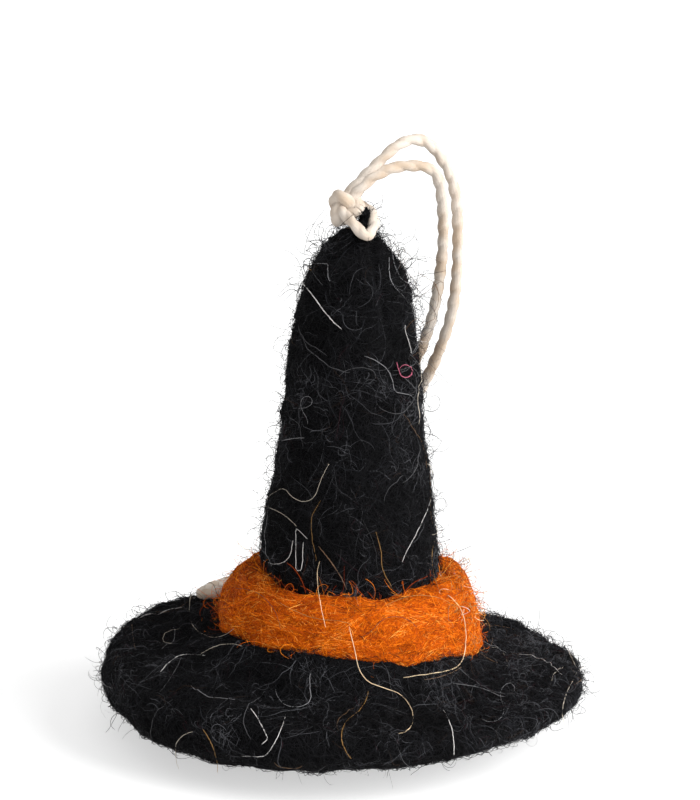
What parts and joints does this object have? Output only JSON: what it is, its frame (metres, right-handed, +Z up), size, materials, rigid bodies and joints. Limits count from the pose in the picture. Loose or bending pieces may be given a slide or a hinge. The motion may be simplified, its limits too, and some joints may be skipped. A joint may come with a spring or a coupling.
{
  "type": "felted witch hat ornament",
  "caption": "Miniature pointed witch hat felted from wool, with a wide padded brim, a contrasting band and a cord loop at its tip to hang it by.",
  "frame": {"origin": "centre of the brim's underside, on the surface the hat stands on", "axes": "+Z up through the crown, -Y the hat's front, +X to the right as seen from the front"},
  "size_m": [0.065, 0.065, 0.0822],
  "materials": {
    "black_felt": "hairy needle-felted wool",
    "core_wool": "undyed wool batting",
    "orange_felt": "combed wool roving, loosely felted",
    "cotton_cord": "twisted two-ply cotton string"
  },
  "bodies": {
    "hat": {"brim_core": "core_wool", "brim_cover": "black_felt", "crown_core": "core_wool", "crown_cover": "black_felt", "hat_band": "orange_felt", "cord_stitch": "cotton_cord"},
    "loop": {"cord_knot": "cotton_cord", "hanging_loop": "cotton_cord"}
  },
  "joints": [
    {"name": "loop_swing", "type": "hinge", "parent": "hat", "child": "loop", "pos_m": [-0.0005, 0, 0.0724], "axis": [1, 0, 0], "range_deg": [0, 110]}
  ]
}
